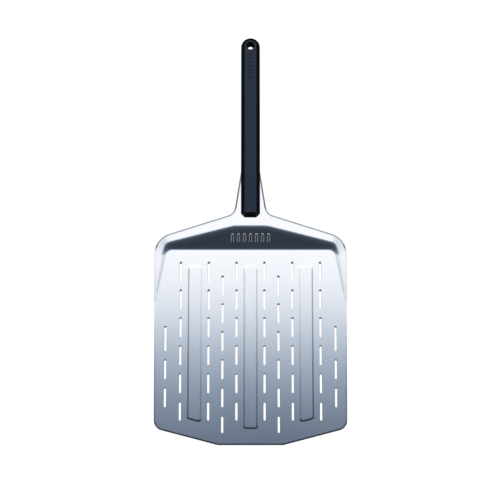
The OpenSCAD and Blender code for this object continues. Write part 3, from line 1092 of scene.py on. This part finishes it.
def build_world():
    """Soft studio light: one broad overhead strip, a fill on both sides, and light from below."""
    world = bpy.data.worlds.new("studio")
    bpy.context.scene.world = world
    world.use_nodes = True
    tree = world.node_tree
    tree.nodes.clear()

    def node(kind, **settings):
        made = tree.nodes.new(kind)
        for key, value in settings.items():
            setattr(made, key, value)
        return made

    def maths(operation, a, b=None, clamp=False):
        made = node("ShaderNodeMath", operation=operation, use_clamp=clamp)
        for socket, value in zip(made.inputs, (a, b)):
            if isinstance(value, (int, float)):
                socket.default_value = value
            elif value is not None:
                tree.links.new(value, socket)
        return made.outputs[0]

    def step(value, start, end, low=0.0, high=1.0):
        made = node("ShaderNodeMapRange", interpolation_type="SMOOTHSTEP")
        tree.links.new(value, made.inputs["Value"])
        for key, number in (("From Min", start), ("From Max", end), ("To Min", low), ("To Max", high)):
            made.inputs[key].default_value = number
        return made.outputs[0]

    def background(colour, strength):
        made = node("ShaderNodeBackground")
        for socket, value in zip(made.inputs, (colour, strength)):
            if isinstance(value, tuple):
                socket.default_value = (*value, 1.0)
            elif isinstance(value, (int, float)):
                socket.default_value = value
            else:
                tree.links.new(value, socket)
        return made.outputs[0]

    def choose(factor, a, b):
        made = node("ShaderNodeMixShader")
        for socket, value in zip(made.inputs, (factor, a, b)):
            tree.links.new(value, socket)
        return made.outputs[0]

    axes = node("ShaderNodeSeparateXYZ")
    tree.links.new(node("ShaderNodeTexCoord").outputs["Generated"], axes.inputs[0])
    x, y, z = axes.outputs
    along = maths("ARCTAN2", y, z)
    first, last = math.radians(STUDIO[0][0]), math.radians(STUDIO[-1][0])
    share = maths("DIVIDE", maths("SUBTRACT", along, first), last - first, clamp=True)
    ramp = node("ShaderNodeValToRGB")
    ramp.color_ramp.interpolation = "B_SPLINE"
    while len(ramp.color_ramp.elements) < len(STUDIO):
        ramp.color_ramp.elements.new(1.0)
    for element, (angle, colour) in zip(ramp.color_ramp.elements, STUDIO):
        element.position = (math.radians(angle) - first) / (last - first)
        element.color = (*(c / STUDIO_PEAK for c in colour), 1.0)
    tree.links.new(share, ramp.inputs[0])
    side = maths("DEGREES", maths("ARCSINE", maths("ABSOLUTE", x)))
    fade = step(side, SIDE_FADE_START, SIDE_FADE_END, STUDIO_PEAK, STUDIO_PEAK * SIDE_FLOOR)
    strip = background(ramp.outputs[0], fade)
    tilt = maths("DEGREES", maths("ABSOLUTE", along))
    fill_share = maths("MULTIPLY", step(side, FILL_SIDE_FROM, FILL_SIDE_TO),
                       step(tilt, FILL_ALONG_FROM, FILL_ALONG_TO))
    light = choose(fill_share, strip, background(FILL_COLOUR, 1.0))
    down = maths("MULTIPLY", z, -1.0)
    under = background(UNDER_COLOUR, step(down, UNDER_FROM, UNDER_TO, 1.0, UNDER_CENTRE))
    path = node("ShaderNodeLightPath").outputs
    through_floor = maths("MINIMUM", path["Transparent Depth"], 1.0)
    light = choose(through_floor, light, under)
    shown = choose(path["Is Camera Ray"], light, background(BACKDROP, 1.0))
    tree.links.new(shown, node("ShaderNodeOutputWorld").inputs[0])


def build_floor():
    """A large plain floor just below the blade."""
    low = BLADE_LOW[2] - FLOOR_DROP
    half = FLOOR_HALF / MM
    corners = np.array([[-half, -half, low], [half, -half, low], [half, half, low], [-half, half, low]])
    floor = make_mesh("floor", corners, [[0, 1, 2, 3]])
    floor.data.materials.append(floor_material())


# Distance, lens, sensor and aim in millimetres, elevation in degrees, clipping in metres
CAMERA_DISTANCE = 1200.0
CAMERA_ELEVATION = 85.0
CAMERA_LENS = 53.78
CAMERA_SENSOR = 36.0
CAMERA_CLIP = (0.01, 50.0)
CAMERA_AIM = (-0.8, 307.95)


def build_camera():
    """Camera nearly overhead, leaning back towards the leading edge."""
    aim = np.array([*CAMERA_AIM, SHEET_T])
    lean = math.radians(90 - CAMERA_ELEVATION)
    back = np.array([0.0, -math.sin(lean), math.cos(lean)])
    data = bpy.data.cameras.new("camera")
    data.lens, data.sensor_width = CAMERA_LENS, CAMERA_SENSOR
    data.clip_start, data.clip_end = CAMERA_CLIP
    camera = bpy.data.objects.new("camera", data)
    camera.location = Vector((aim + back * CAMERA_DISTANCE) * MM)
    camera.rotation_euler = (lean, 0.0, 0.0)
    bpy.context.scene.collection.objects.link(camera)
    bpy.context.scene.camera = camera


# ---------------------------------------------------------------- scene

def main():
    """Builds the pieces, gives them their materials and puts them in the studio."""
    blade = build_blade()
    front, back = build_handle()
    grip = grip_material()
    dress(blade, sheet_material())
    dress(front, grip)
    dress(back, grip)
    for piece, node in ((blade, "blade"), (front, "handle_front_shell"), (back, "handle_back_shell")):
        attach(piece, BODY)
        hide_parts(node)
    dress(frame["nodes"]["handle_screws"], screw_material())
    dress(frame["nodes"]["threaded_inserts"], insert_material())
    build_floor()
    build_world()
    build_camera()
    bpy.context.scene.view_settings.view_transform = "Standard"


main()
